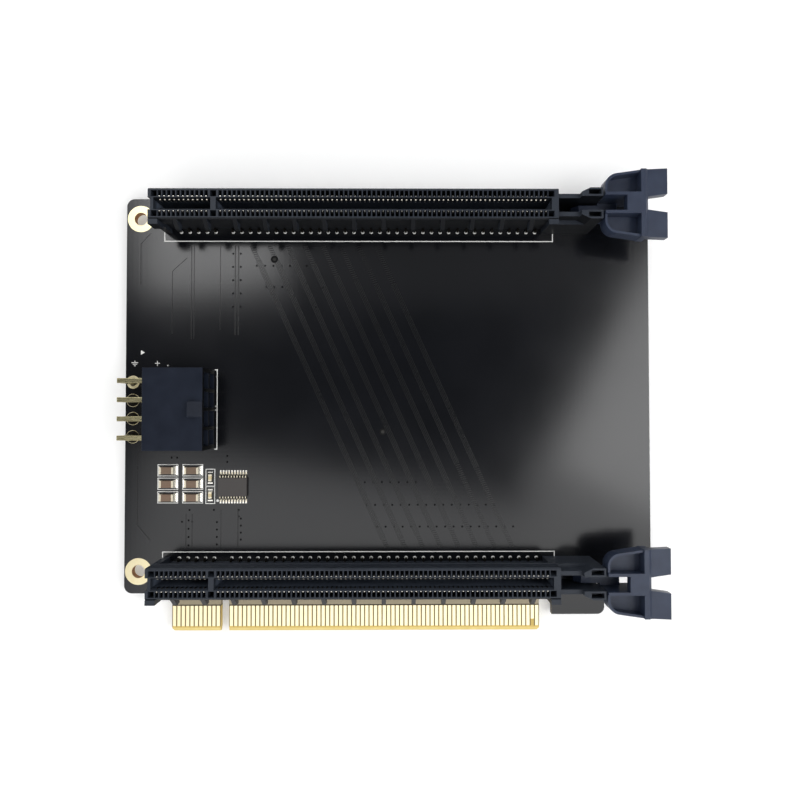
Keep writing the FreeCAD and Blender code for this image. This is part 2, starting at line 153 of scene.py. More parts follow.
layers = add_node(tree, "TexWave", stack, bands_direction="Z")
grain = add_node(tree, "Math", {0: streaks["Fac"], 1: layers["Fac"]}, operation="MULTIPLY")
resin, paler_resin = [linear(shade) for shade in laminate_colours]
laminate = add_node(tree, "Mix", {0: grain[0], 6: resin, 7: paler_resin}, data_type="RGBA")
# Between the contacts the laminate is painted darker, as shade.
below_line = add_node(tree, "Math", {0: point["Y"], 1: fingers_high.y * mm}, operation="LESS_THAN")
row_start = (fingers_low.x + finger_half) * mm
along_row = add_node(tree, "Math", {0: point["X"], 1: row_start}, operation="SUBTRACT")
sway = add_node(tree, "Math", {0: along_row[0], 1: contact_pitch / 2 * mm}, operation="PINGPONG")
off_finger = add_node(tree, "Math", {0: sway[0], 1: finger_half * mm}, operation="GREATER_THAN")
in_row = add_node(tree, "Math", {0: below_line[0], 1: off_finger[0]}, operation="MULTIPLY")
between = add_node(tree, "Math", {0: in_row[0], 1: on_edge[0]}, operation="GREATER_THAN")
laminate = add_node(tree, "Mix", {0: between[0], 6: laminate[2], 7: linear(shaded_gap_colour)}, data_type="RGBA")
# Above the contacts the bare strip is painted greyer, as the shade under the slot's head.
strip_low = fingers_high.y + line_width
above = add_node(tree, "Math", {0: point["Y"], 1: strip_low * mm}, operation="GREATER_THAN")
pale = add_node(tree, "Mix", {0: above[0], 6: laminate[2], 7: linear(shaded_strip_colour)}, data_type="RGBA")
line_middle = (fingers_high.y + line_width / 2) * mm
line = add_node(tree, "Math", {0: point["Y"], 1: line_middle, 2: line_width / 2 * mm}, operation="COMPARE")
laminate = add_node(tree, "Mix", {0: line[0], 6: pale[2], 7: linear(line_colour)}, data_type="RGBA")
laminate = add_node(tree, "Mix", {0: on_tab[0], 6: linear(edge_colour), 7: laminate[2]}, data_type="RGBA")
clouded = {"Vector": place["Object"], "Scale": 1 / (film_cloud * mm), "Detail": 3.0}
clouds = add_node(tree, "TexNoise", clouded)
black, paler_black = [linear(shade) for shade in mask_colours]
film = add_node(tree, "Mix", {0: clouds["Fac"], 6: black, 7: paler_black}, data_type="RGBA")
colour = add_node(tree, "Mix", {0: bare[0], 6: film[2], 7: laminate[2]}, data_type="RGBA")
gloss = {"Value": clouds["Fac"], "To Min": mask_roughness[0], "To Max": mask_roughness[1]}
flow = add_node(tree, "MapRange", gloss)
rough = add_node(tree, "Mix", {0: bare[0], 2: flow["Result"], 3: laminate_roughness})
threads = {"Vector": place["Object"], "Scale": 1 / (2 * math.pi * glass_thread * mm)}
warp = add_node(tree, "TexWave", threads, bands_direction="X")
weft = add_node(tree, "TexWave", threads, bands_direction="Y")
cloth = add_node(tree, "Math", {0: warp["Fac"], 1: weft["Fac"]}, operation="MULTIPLY")
woven = {"Height": cloth[0], "Strength": cloth_relief[0], "Distance": cloth_relief[1] * mm}
relief = add_node(tree, "Bump", woven)
shader = add_node(
    tree,
    "BsdfPrincipled",
    {"Base Color": colour[2], "Roughness": rough[0], "IOR": mask_ior, "Normal": relief["Normal"]},
)
add_node(tree, "OutputMaterial", {"Surface": shader["BSDF"]})
dress("board", mask)

# Tracks: etched copper under the mask, seen as faint raised lines. Eight bundles of matched pairs cross
# the board from slot to slot, folded back and forth near both ends; supply tracks run beside the header.
copper_height = 0.04
track_width = 0.18
bundle_count = 8
bundle_tracks = 4
bundle_pitch = 4.12
bundle_track_pitch = 0.34
bundle_start = (25.6, 34.6)     # upper end of the first bundle
bundle_end = (57.0, -35.2)      # lower end of the first bundle
fold_pitch = 0.5
fold_reach = 0.55
fold_width = track_width * 1.3
upper_folds = (4, 4, 4, 5, 8, 9, 10, 10)        # length of each bundle's folds
lower_folds = (2, 2, 3, 4.5, 6, 10, 21, 20)
single_tracks = [               # width, then the points it runs through
    (0.16, [(2.2, 37.3), (0.0, 34.85), (0.0, 25.5)]),
    (0.16, [(10.7, 31.6), (7.3, 28.5), (7.3, 14.0)]),
    (0.2, [(11.75, 34.4), (11.75, 12.8)]),
    (0.2, [(12.35, 34.4), (12.35, 12.8)]),
    (0.16, [(18.4, 34.4), (18.4, 14.9)]),
    (0.3, [(21.85, 34.4), (21.85, 13.7)]),
    (0.3, [(22.6, 34.4), (22.6, 13.7)]),
    (0.16, [(-0.35, -12.9), (-0.35, -30.0), (2.6, -33.5)]),
    (0.2, [(10.8, -27.5), (10.8, -35.2)]),
    (0.2, [(12.2, -27.5), (12.2, -35.2)]),
    (0.16, [(18.8, -26.5), (18.8, -35.2)]),
    (0.3, [(22.7, -26.5), (22.7, -35.2)]),
]


def add_ribbon(shape, points, width, bottom, height, closed=False):
    """A raised strip along a line of (x, y) points, mitred at its bends."""
    line = [Vector(p) for p in points]
    rows = []
    for i, here in enumerate(line):
        before = line[i - 1] if closed or i > 0 else 2 * here - line[i + 1]
        after = line[(i + 1) % len(line)] if closed or i < len(line) - 1 else 2 * here - line[i - 1]
        onward = (after - here).normalized()
        along = ((here - before).normalized() + onward).normalized()
        side = Vector((-along.y, along.x)) * (width / 2 / max(along.dot(onward), 0.5))
        corners = ((1, bottom), (1, bottom + height), (-1, bottom + height), (-1, bottom))
        rows.append([shape.verts.new((*(here + sign * side), z)) for sign, z in corners])
    for i in range(len(rows) if closed else len(rows) - 1):
        here, there = rows[i], rows[(i + 1) % len(rows)]
        for j in range(4):
            shape.faces.new((here[j], there[j], there[(j + 1) % 4], here[(j + 1) % 4]))
    if not closed:
        shape.faces.new(rows[0])
        shape.faces.new(rows[-1])


def new_piece(name, shape, material):
    """Turn a shape drawn in millimetres into a piece that rides on the card."""
    bmesh.ops.recalc_face_normals(shape, faces=shape.faces)
    bmesh.ops.scale(shape, vec=(mm, mm, mm), verts=shape.verts)
    mesh = bpy.data.meshes.new(name)
    shape.to_mesh(mesh)
    shape.free()
    mesh.materials.append(material)
    piece = bpy.data.objects.new(name, mesh)
    bpy.context.scene.collection.objects.link(piece)
    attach(piece, "card")
    return piece


def two_tone_finish(
    name, grain, dark, pale, roughness, sockets=None, detail=3.0, drawn_out=None, relief=None
):
    """A finish that wavers between two colours, and two roughnesses if given, over a grain in millimetres."""
    material, tree = new_material(name)
    where = add_node(tree, "TexCoord", {})["Object"]
    if drawn_out:
        where = add_node(tree, "Mapping", {"Vector": where, "Scale": drawn_out})["Vector"]
    waver = add_node(tree, "TexNoise", {"Vector": where, "Scale": 1 / (grain * mm), "Detail": detail})["Fac"]
    tint = add_node(tree, "Mix", {0: waver, 6: linear(dark), 7: linear(pale)}, data_type="RGBA")
    values = {"Base Color": tint[2], "Roughness": roughness, **(sockets or {})}
    if isinstance(roughness, tuple):
        sheen = {"Value": waver, "To Min": roughness[0], "To Max": roughness[1]}
        values["Roughness"] = add_node(tree, "MapRange", sheen)["Result"]
    if relief:
        bumps = {"Height": waver, "Strength": relief[0], "Distance": relief[1] * mm}
        values["Normal"] = add_node(tree, "Bump", bumps)["Normal"]
    shader = add_node(tree, "BsdfPrincipled", values)
    add_node(tree, "OutputMaterial", {"Surface": shader["BSDF"]})
    return material


tracks = bmesh.new()
for width, points in single_tracks:
    add_ribbon(tracks, points, width, board_top, copper_height)
start, end = Vector(bundle_start), Vector(bundle_end)
length = (end - start).length
along = (end - start) / length
across = Vector((-along.y, along.x))
for bundle in range(bundle_count):
    origin = start + Vector((bundle * bundle_pitch, 0))
    straight = (upper_folds[bundle], length - lower_folds[bundle])
    for track in range(bundle_tracks):
        offset = across * (track - (bundle_tracks - 1) / 2) * bundle_track_pitch
        ends = [origin + offset + along * reach for reach in straight]
        add_ribbon(tracks, ends, track_width, board_top, copper_height)
    folded_ends = ((0, upper_folds[bundle]), (straight[1], lower_folds[bundle]))
    for first, folded in folded_ends:
        for fold in range(round(folded / fold_pitch)):
            middle = origin + along * (first + (fold + 0.5) * fold_pitch)
            line = [middle - across * fold_reach, middle + across * fold_reach + along * fold_pitch / 2]
            add_ribbon(tracks, line, fold_width, board_top, copper_height)

# The film over copper is the same black, but thinner and less glossy along the metal's edges.
covered = two_tone_finish(
    "black_solder_mask_over_copper", 3.0, "#050607", "#08090b", (0.26, 0.3), {"IOR": mask_ior}, detail=2.0
)
new_piece("masked_tracks", tracks, covered)

# Vias: drilled and plated holes between the copper layers, covered by the mask. The film sags into each one
# and leaves a small dimple with a raised lip; the dimple's darkness is painted shade.
via_radius = 0.24
via_sides = 12
via_rows = [                    # first x, y, step along x, count
    (26.8, 29.8, 1.93, 8),
    (29.05, 24.85, 1.85, 4),
    (49.9, -20.3, 1.96, 8),
    (52.3, -25.5, 1.96, 16),
    (54.7, -30.5, 1.96, 17),
    (7.4, -14.6, 1.3, 2),
    (11.6, -26.6, 5.6, 3),
    (9.9, -29.3, 2.3, 2),
]
via_columns = [                 # x, first y, step along y, count
    (21.35, 32.6, -3.08, 5),
    (23.1, 32.6, -3.08, 5),
    (11.4, -29.0, -1.9, 4),
    (17.9, -29.4, -1.7, 4),
    (23.4, -28.6, -1.6, 4),
    (22.9, -26.6, -1.5, 2),
    (20.2, -15.6, 1.4, 2),
]


def add_turned(shape, profile, centre, sides, closed=False):
    """A turned form from (radius, z) points, round an upright axis at (x, y)."""
    rings = []
    for radius, z in profile:
        turn = [2 * math.pi * k / sides for k in range(sides)]
        points = [(centre[0] + radius * math.cos(a), centre[1] + radius * math.sin(a), z) for a in turn]
        rings.append([shape.verts.new(point) for point in points])
    pairs = list(zip(rings, rings[1:])) + ([(rings[-1], rings[0])] if closed else [])
    for lower, upper in pairs:
        for k in range(sides):
            shape.faces.new((lower[k], lower[(k + 1) % sides], upper[(k + 1) % sides], upper[k]))
    if not closed:
        shape.faces.new(rings[0])
        shape.faces.new(rings[-1])


via_places = [(x + i * step, y) for x, y, step, count in via_rows for i in range(count)]
via_places += [(x, y + i * step) for x, y, step, count in via_columns for i in range(count)]
vias = bmesh.new()
for place_xy in via_places:
    lip = [
        (via_radius, board_top),
        (via_radius * 0.8, board_top + copper_height),
        (via_radius * 0.5, board_top + 0.01),
    ]
    add_turned(vias, lip, place_xy, via_sides)
# Black and nearly matt: darker than the mask as painted shade in the dimple, and with so little shine that it
# mirrors none of the room.
dull = {"Specular IOR Level": 0.15}
sunk_mask = two_tone_finish("mask_sunk_in_via", 0.6, "#020203", "#0b0c0e", 0.5, dull, detail=1.0)
new_piece("covered_vias", vias, sunk_mask)

# Gold plate: the edge contacts, the rings and barrels of the mounting holes and the header's ring pads.
# Copper plated with nickel and hard gold, with the barrels painted red-brown as shade inside the holes; cards
# wipe the contacts lengthwise.
finger_wear = 0.12              # spacing of the wipe marks, coarser than real so that they show
pad_bevel = 0.05
ring_sides = 48
pad_sides = 32
ring_low, ring_high = box_mm("mounting_pads")
ring_radius = ring_high.x
hole_radius = 1.5
plating = 0.04
hole_ys = (ring_low.y + ring_radius, ring_high.y - ring_radius)
header_pad_radius = 1.5
pad_bore = 0.9

# Pale yellow metal with a soft shine, drawn out along the contacts by fine wipe marks.
metal = {"Metallic": 1.0}
lengthwise = (1.0, 0.06, 1.0)
gold = two_tone_finish(
    "hard_gold_over_nickel", finger_wear, "#eedca4", "#fcf4d6", (0.24, 0.42), metal,
    drawn_out=lengthwise, relief=(0.15, 0.01),
)
for node in ("front_edge_fingers", "back_edge_fingers", "mounting_pads"):
    dress(node, gold)

pin_boxes = [box_mm(f"power_pin_{number}") for number in range(1, 9)]
pin_side = pin_boxes[0][1].y - pin_boxes[0][0].y
pin_feet = [(low.x + pin_side / 2, (low.y + high.y) / 2) for low, high in pin_boxes]
plate = bmesh.new()
barrels = bmesh.new()
bore = hole_radius - plating
for y in hole_ys:
    barrel = [(bore, board_top), (hole_radius, board_top), (hole_radius, board_under), (bore, board_under)]
    add_turned(barrels, barrel, (0, y), ring_sides, closed=True)
    ring = [
        (bore, board_under),
        (ring_radius, board_under),
        (ring_radius - pad_bevel, board_under - plating),
        (bore, board_under - plating),
    ]
    add_turned(plate, ring, (0, y), ring_sides, closed=True)
for foot in pin_feet:
    for z, lift in ((board_top, plating), (board_under, -plating)):
        rim = header_pad_radius - pad_bevel
        ring = [(pad_bore, z), (header_pad_radius, z), (rim, z + lift), (pad_bore, z + lift)]
        add_turned(plate, ring, foot, pad_sides, closed=True)
new_piece("gold_plated_pads", plate, gold)
# Red-brown metal with blotches: the barrel's plate painted darker as the shade inside the hole.
shaded_barrel_metal = two_tone_finish("barrel_plate_painted_dark_as_shade", 0.4, "#7a4f33", "#c09468", 0.45, metal)
new_piece("mounting_hole_barrels", barrels, shaded_barrel_metal)

# Silkscreen: white epoxy ink printed through a mesh. It frames the slots and small parts, marks the header's
# front and the first pins, and shows the header's two poles by a ground sign and a plus sign.
ink_height = 0.025
ink_width = 0.21
fine_ink = 0.16
header_low, header_high = box_mm("power_header")
chip_low, chip_high = box_mm("driver_chip")
slot_names = ("upper", "lower")
slot_ys = dict(zip(slot_names, (hole_ys[1], hole_ys[0])))
slot_frame = (5.5, 95.5)        # x of both ends
slot_frame_y = {"upper": (-5.14, 4.2), "lower": (-4.2, 4.42)}   # from the slot's middle
capacitor_margin = (0.7, 0.5)
resistor_margin = (0.62, 1.15)


def frame_points(x, y):
    """The corners of an upright rectangle."""
    return [(x[0], y[0]), (x[1], y[0]), (x[1], y[1]), (x[0], y[1])]


def print_line(points, width, closed=False):
    """Print a line of ink through (x, y) points."""
    add_ribbon(ink, points, width, board_top, ink_height, closed)


def print_spot(centre, radii, sides):
    """Print a spot of ink, whose radius is given on the mask and on top."""
    add_turned(ink, [(radii[0], board_top), (radii[1], board_top + ink_height)], centre, sides)


ink = bmesh.new()
for slot in slot_names:
    low, high = slot_frame_y[slot]
    corners = frame_points(slot_frame, (slot_ys[slot] + low, slot_ys[slot] + high))
    print_line(corners, ink_width, closed=True)
capacitor_boxes = [box_mm(f"capacitor_{n}_end_caps") for n in range(1, 7)]
resistor_boxes = [box_mm(f"resistor_{n}_end_caps") for n in range(1, 3)]
for boxes, (beside, beyond) in ((capacitor_boxes, capacitor_margin), (resistor_boxes, resistor_margin)):
    for low, high in boxes:
        corners = frame_points((low.x - beside, high.x + beside), (low.y - beyond, high.y + beyond))
        print_line(corners, fine_ink, closed=True)
header_y = (header_low.y + header_high.y) / 2
header_line_gap = 0.45
header_line_half = 9.15
header_line_x = header_high.x + header_line_gap
tick = 0.55
tick_shifts = (-0.15, 0.75)     # from the header's middle
bracket = [
    (header_line_x - tick, header_y - header_line_half),
    (header_line_x, header_y - header_line_half),
    (header_line_x, header_y + header_line_half),
    (header_line_x - tick, header_y + header_line_half),
]
print_line(bracket, ink_width)
for shift in tick_shifts:
    y = header_y + shift
    print_line([(header_line_x - tick, y), (header_line_x, y)], fine_ink)
first_pin_dot = (chip_low.x - 0.36, chip_low.y - 0.98)
print_spot(first_pin_dot, (0.3, 0.27), 20)
legend_gap = 1.65
legend_y = header_high.y + legend_gap
ground_x = -1.2
ground_stem = (0.6, 0.15)       # heights of its ends over the legend's middle
ground_bars = ((1.5, 0.15), (0.95, -0.2), (0.4, -0.55))         # length and height
print_line([(ground_x, legend_y + rise) for rise in ground_stem], fine_ink)
for bar, rise in ground_bars:
    points = [(ground_x - bar / 2, legend_y + rise), (ground_x + bar / 2, legend_y + rise)]
    print_line(points, fine_ink)
plus_x = 4.0
plus_reach = 0.58
print_line([(plus_x - plus_reach, legend_y), (plus_x + plus_reach, legend_y)], fine_ink)
for sign in (-1, 1):
    print_line([(plus_x, legend_y + sign * fine_ink / 2), (plus_x, legend_y + sign * plus_reach)], fine_ink)
legend_dot = (6.4, legend_y - 0.5)
print_spot(legend_dot, (0.16, 0.14), 16)
arrow = (0.5, legend_y + 2.5)   # a three-sided spot, pointing at the header's open end
print_spot(arrow, (0.62, 0.58), 3)

# Off-white and dull, with the screen's mesh leaving it slightly grainy and thin in places.
silk = two_tone_finish(
    "white_screen_printed_ink", 0.12, "#d9d9d6", "#f4f4f0", 0.6, detail=2.0, relief=(0.3, 0.01)
)
new_piece("screen_printed_marks", ink, silk)

# Small parts: six ceramic capacitors, two chip resistors and a small-outline driver chip, placed on paste
# and reflowed. Their ends and leads are tin, and the solder climbs them in smooth hollow fillets.
fillet_reach = 0.58
fillet_climb = 0.75             # share of the end cap that the solder climbs
pad_margin = 0.16
pad_height = 0.03
lead_pitch = 0.65
lead_count = 10
lead_width = 0.24
lead_thickness = 0.15
lead_foot = 0.55
lead_root = 0.05                # start of a lead inside the chip
lead_flat = 0.35                # from the chip's side to the first bend
lead_slant = 0.1                # between a bend's outer and inner corners
paste_height = 0.02
pad_half = lead_width * 0.75
pad_heel = 0.15
pad_toe = 0.35
tin_grain = 0.15                # coarser than the real crystals, so that they show
ceramic_speck = 0.18            # coarser than real, so that it shows
ceramic_drift = 4.0             # distance over which the ceramic's colour changes


def soften(node, width):
    """Round a CAD node's edges a little, as a mould or a press leaves them."""
    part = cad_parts[node]
    weld = part.modifiers.new("joined_facets", "WELD")
    weld.merge_threshold = 0.001 * mm
    bevel = part.modifiers.new("soft_edges", "BEVEL")
    bevel.width = width * mm
    bevel.segments = 2
    bevel.limit_method = "ANGLE"
    bevel.angle_limit = math.radians(35)


def add_bar(shape, section, span, along_y=False):
    """A bar whose (across, z) section runs between two values of x, or of y."""
    ends = []
    for value in span:
        points = [(across, value, z) if along_y else (value, across, z) for across, z in section]
        ends.append([shape.verts.new(point) for point in points])
    for i in range(len(section)):
        j = (i + 1) % len(section)
        shape.faces.new((ends[0][i], ends[0][j], ends[1][j], ends[1][i]))
    shape.faces.new(ends[0])
    shape.faces.new(ends[1])


def fillet_section(face, outward, height):
    """A hollow solder fillet from the top of an end cap down to the edge of its pad."""
    hollow = ((0, height), (0.12, height * 0.5), (0.3, height * 0.2))
    foot = ((fillet_reach, 0.06), (fillet_reach, 0), (0, 0))
    return [(face + outward * reach, board_top + rise) for reach, rise in hollow + foot]


solder_shape = bmesh.new()
for low, high in capacitor_boxes:
    width = (low.y - pad_margin, high.y + pad_margin)
    rise = (high.z - low.z) * fillet_climb
    add_bar(solder_shape, fillet_section(high.x, 1, rise), width, along_y=True)
    add_bar(solder_shape, fillet_section(low.x, -1, rise), width, along_y=True)
for low, high in resistor_boxes:
    width = (low.x - pad_margin, high.x + pad_margin)
    rise = (high.z - low.z) * fillet_climb
    add_bar(solder_shape, fillet_section(high.y, 1, rise), width)
    add_bar(solder_shape, fillet_section(low.y, -1, rise), width)

leads_high = box_mm("driver_chip_leads")[1]
chip_x = (chip_low.x + chip_high.x) / 2
chip_y = (chip_low.y + chip_high.y) / 2
chip_half = chip_high.y - chip_y
lead_reach = leads_high.y - chip_y
lead_shoulder = chip_half + lead_flat
waist = (chip_low.z + chip_high.z) / 2
lead_section = [
    (chip_half - lead_root, waist + lead_thickness / 2),
    (lead_shoulder, waist + lead_thickness / 2),
    (lead_reach - lead_foot + lead_slant, board_top + lead_thickness),
    (lead_reach, board_top + lead_thickness),
    (lead_reach, board_top + paste_height),
    (lead_reach - lead_foot, board_top + paste_height),
    (lead_shoulder - lead_slant, waist - lead_thickness / 2),
    (chip_half - lead_root, waist - lead_thickness / 2),
]
leads = bmesh.new()
for number in range(lead_count):
    x = chip_x + (number - (lead_count - 1) / 2) * lead_pitch
    for sign in (1, -1):
        section = [(chip_y + sign * across, z) for across, z in lead_section]
        add_bar(leads, section, (x - lead_width / 2, x + lead_width / 2))
        pad_ends = (lead_reach - lead_foot - pad_heel, lead_reach + pad_toe)
        pad_span = sorted(chip_y + sign * across for across in pad_ends)
        outline = frame_points(pad_span, (board_top, board_top + pad_height))
        add_bar(solder_shape, outline, (x - pad_half, x + pad_half))

# Bright silver-white metal, smooth from the melt, with faint frosting where it froze.
solder = two_tone_finish("reflowed_tin_solder", 0.3, "#dcd9d0", "#fbf8f0", (0.14, 0.3), metal)
new_piece("small_part_solder", solder_shape, solder)

tin, tree = new_material("matte_tin_plate")
# Dull silver plating with a fine crystalline grain, a little warm where the base metal shows.
place = add_node(tree, "TexCoord", {})
crystals = add_node(tree, "TexVoronoi", {"Vector": place["Object"], "Scale": 1 / (tin_grain * mm)})
plating_colours = {6: linear("#fbf3de"), 7: linear("#ddd3ba")}
tint = add_node(tree, "Mix", {0: crystals["Distance"], **plating_colours}, data_type="RGBA")
shine = add_node(tree, "MapRange", {"Value": crystals["Distance"], "To Min": 0.3, "To Max": 0.5})
shader = add_node(tree, "BsdfPrincipled", {**metal, "Base Color": tint[2], "Roughness": shine["Result"]})
add_node(tree, "OutputMaterial", {"Surface": shader["BSDF"]})
gull_leads = new_piece("driver_chip_gull_leads", leads, tin)
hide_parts("driver_chip_leads")

ceramic, tree = new_material("fired_brown_ceramic")
# Grey-brown fired body, eggshell, with darker specks and slightly uneven colour from part to part.
place = add_node(tree, "TexCoord", {})
fine = {"Vector": place["Object"], "Scale": 1 / (ceramic_speck * mm), "Detail": 4.0}
specks = add_node(tree, "TexNoise", fine)
broad = {"Vector": place["Object"], "Scale": 1 / (ceramic_drift * mm), "Detail": 0.0}
batch = add_node(tree, "TexNoise", broad)
warm = add_node(tree, "Mix", {0: batch["Fac"], 6: linear("#7d6e58"), 7: linear("#8c6a54")}, data_type="RGBA")
tint = add_node(tree, "Mix", {0: specks["Fac"], 6: linear("#574636"), 7: warm[2]}, data_type="RGBA")
shader = add_node(tree, "BsdfPrincipled", {"Base Color": tint[2], "Roughness": 0.48, "IOR": 1.6})
add_node(tree, "OutputMaterial", {"Surface": shader["BSDF"]})

# Cream fired glaze, shiny with soft waves, over the resistor film.
glaze = two_tone_finish("pale_fired_glaze", 0.4, "#b9a578", "#e6d7ae", 0.2, detail=1.0, relief=(0.25, 0.03))

# Charcoal moulding with a fine sparked grain, greyer than the board and nearly matt.
epoxy = two_tone_finish(
    "moulded_mineral_filled_epoxy", 0.1, "#322f2e", "#494543", 0.55, relief=(0.3, 0.01)
)

for number in range(1, 7):
    dress(f"capacitor_{number}", ceramic)
    dress(f"capacitor_{number}_end_caps", tin)
    soften(f"capacitor_{number}_end_caps", 0.1)
for number in range(1, 3):
    dress(f"resistor_{number}", glaze)
    dress(f"resistor_{number}_end_caps", tin)
    soften(f"resistor_{number}_end_caps", 0.06)
dress("driver_chip", epoxy)
soften("driver_chip", 0.06)
dress("driver_chip_leads", tin)

# Alignment dots: two round spots of tinned copper, by which the placing machine finds the board. The mask is
# kept clear round each one, so a dark ring lies about a dull grey spot.
dot_places = ((30.9, 31.3), (56.0, -8.7))
dot_sides = 24
dot_profile = [(0.4, board_top + 0.04), (0.34, board_top + 0.07)]
clearing_profile = [(0.85, board_top), (0.8, board_top + 0.05)]
alignment_dots = bmesh.new()
dot_clearings = bmesh.new()
for dot in dot_places:
    add_turned(dot_clearings, clearing_profile, dot, dot_sides)
    add_turned(alignment_dots, dot_profile, dot, dot_sides)
# Dark grey and dull, cloudy from place to place: the tin's mirror image of the dim ceiling is painted into
# its colour.
dark_reflection_tin = two_tone_finish("tin_spot_painted_with_dark_reflection", 0.25, "#1e1e1d", "#3b3a37", 0.55, {"Metallic": 0.4})
new_piece("alignment_dots", alignment_dots, dark_reflection_tin)
new_piece("alignment_dot_clearings", dot_clearings, sunk_mask)

# Slot housings: glass-filled nylon, moulded in one shot with the latch towers and pressed in by two pegs.
# Satin black with soft corners on every wall and rib, painted darker on the ribbed side as shade and paler in
# the card channels as light.
mottle_size = 3.0
spark_grain = 0.14
spark_relief = (0.25, 0.012)    # strength, and depth in millimetres
satin_spread = (-0.07, 0.09)    # from the moulding's usual roughness


def moulded_nylon(name, dark, pale, roughness, shine, shaded_side=None, channel=None):
    """Moulded nylon: satin and mottled, with a sparked grain. One side may be painted darker as shade and a
    channel painted paler as light.
    """
    material, tree = new_material(name)
    place = add_node(tree, "TexCoord", {})
    broad = {"Vector": place["Object"], "Scale": 1 / (mottle_size * mm), "Detail": 5.0}
    mottle = add_node(tree, "TexNoise", broad)
    fine = {"Vector": place["Object"], "Scale": 1 / (spark_grain * mm), "Detail": 2.0}
    spark = add_node(tree, "TexNoise", fine)
    tint = add_node(tree, "Mix", {0: mottle["Fac"], 6: linear(dark), 7: linear(pale)}, data_type="RGBA")
    skin = tint[2]
    # The shaded side is painted darker as shade, by the way its faces turn.
    if shaded_side:
        axis, sign, remaining = shaded_side
        normal = add_node(tree, "SeparateXYZ", {"Vector": place["Normal"]})
        grazing, facing = 0.35, 0.75
        turn = {"Value": normal[axis], "From Min": sign * grazing, "From Max": sign * facing}
        shade = add_node(tree, "MapRange", {**turn, "To Min": 1.0, "To Max": remaining})
        skin = add_node(tree, "VectorMath", {0: skin, "Scale": shade["Result"]}, operation="SCALE")[0]
    # The card channel is painted paler as light, the more so the deeper it goes.
    if channel:
        half_width, (start, end), (top, bottom), paler = channel
        where = add_node(tree, "SeparateXYZ", {"Vector": place["Object"]})
        along = add_node(tree, "Math", {0: where["Y"], 1: slot_ys["lower"] * mm}, operation="SUBTRACT")
        spacing = (slot_ys["upper"] - slot_ys["lower"]) * mm
        off_centre = add_node(tree, "Math", {0: along[0], 1: spacing / 2}, operation="PINGPONG")
        inside = add_node(tree, "Math", {0: off_centre[0], 1: half_width * mm}, operation="LESS_THAN")
        reach = {0: where["X"], 1: (start + end) / 2 * mm, 2: (end - start) / 2 * mm}
        between_ends = add_node(tree, "Math", reach, operation="COMPARE")
        inside = add_node(tree, "Math", {0: inside[0], 1: between_ends[0]}, operation="MULTIPLY")
        sunk = {"Value": where["Z"], "From Min": top * mm, "From Max": bottom * mm, "To Max": paler - 1}
        depth = add_node(tree, "MapRange", sunk)
        channel_light = add_node(tree, "Math", {0: inside[0], 1: depth["Result"], 2: 1.0}, operation="MULTIPLY_ADD")
        skin = add_node(tree, "VectorMath", {0: skin, "Scale": channel_light[0]}, operation="SCALE")[0]
    smoother, rougher = [roughness + change for change in satin_spread]
    satin = add_node(tree, "MapRange", {"Value": spark["Fac"], "To Min": smoother, "To Max": rougher})
    pits = {"Height": spark["Fac"], "Strength": spark_relief[0], "Distance": spark_relief[1] * mm}
    relief = add_node(tree, "Bump", pits)
    shader = add_node(
        tree,
        "BsdfPrincipled",
        {
            "Base Color": skin,
            "Roughness": satin["Result"],
            "Specular IOR Level": shine,
            "Normal": relief["Normal"],
        },
    )
    add_node(tree, "OutputMaterial", {"Surface": shader["BSDF"]})
    return material


channel_light_depth = (board_top + 10.2, board_top + 8.7)      # where the painted light in the channel starts and is strongest
lit_channel = (1.3, (6.6, 93.4), channel_light_depth, 4.6)  # half width, ends, depth, and times paler as painted light
shaded_ribbed_side = ("Y", -1, 0.18)   # axis and direction of the side painted darker as shade, and the share of colour it keeps
slot_nylon = moulded_nylon(
    "glass_filled_nylon_slot", "#1f232b", "#32373f", 0.4, 0.2, shaded_side=shaded_ribbed_side, channel=lit_channel
)
# The mould parts along the lower edge of the head's plain side and leaves a fine ridge there.
head_half = 3.35
head_x = (5.9, 94.1)
head_under = board_top + 7.4
ridge_reach = 0.17
ridge_root = 0.05
ridge_height = (0.16, 0.1)      # at its root and at its edge
for slot in slot_names:
    dress(f"{slot}_slot_housing", slot_nylon)
    soften(f"{slot}_slot_housing", 0.07)
    side = slot_ys[slot] + head_half
    ridge = [
        (side - ridge_root, head_under),
        (side + ridge_reach, head_under),
        (side + ridge_reach, head_under + ridge_height[1]),
        (side - ridge_root, head_under + ridge_height[0]),
    ]
    parting_line = bmesh.new()
    add_bar(parting_line, ridge, head_x)
    new_piece(f"{slot}_slot_parting_line", parting_line, slot_nylon)

# Slot contacts: stamped phosphor bronze, tin plated at the leg and gold plated at the bend. Each tip rests
# behind the cell's inner lip, the bend stands into the card slot and the leg is soldered through the board.
contacts_before_key = 11
contacts_after_key = 71
key_span = 3.0
contact_width = 0.27
slot_height = 11.25
cell_inner = 1.5
cell_slope = 2.54               # fall of the cell's floor for each millimetre outwards
card_slot_half = 0.95
stem_half = 2.3
leg_row = 3.0
inner_row = 1.25
leg_width = 0.42
tail_length = 0.9
joint_sides = 10
contact_xs = [fingers_low.x + finger_half + i * contact_pitch for i in range(contacts_before_key)]
contact_xs += [contact_xs[-1] + key_span + i * contact_pitch for i in range(contacts_after_key)]
slot_top = board_top + slot_height


def cell_floor(y):
    """Height of a contact cell's sloping floor at a distance from the slot's middle."""
    return slot_top - (y - cell_inner) * cell_slope


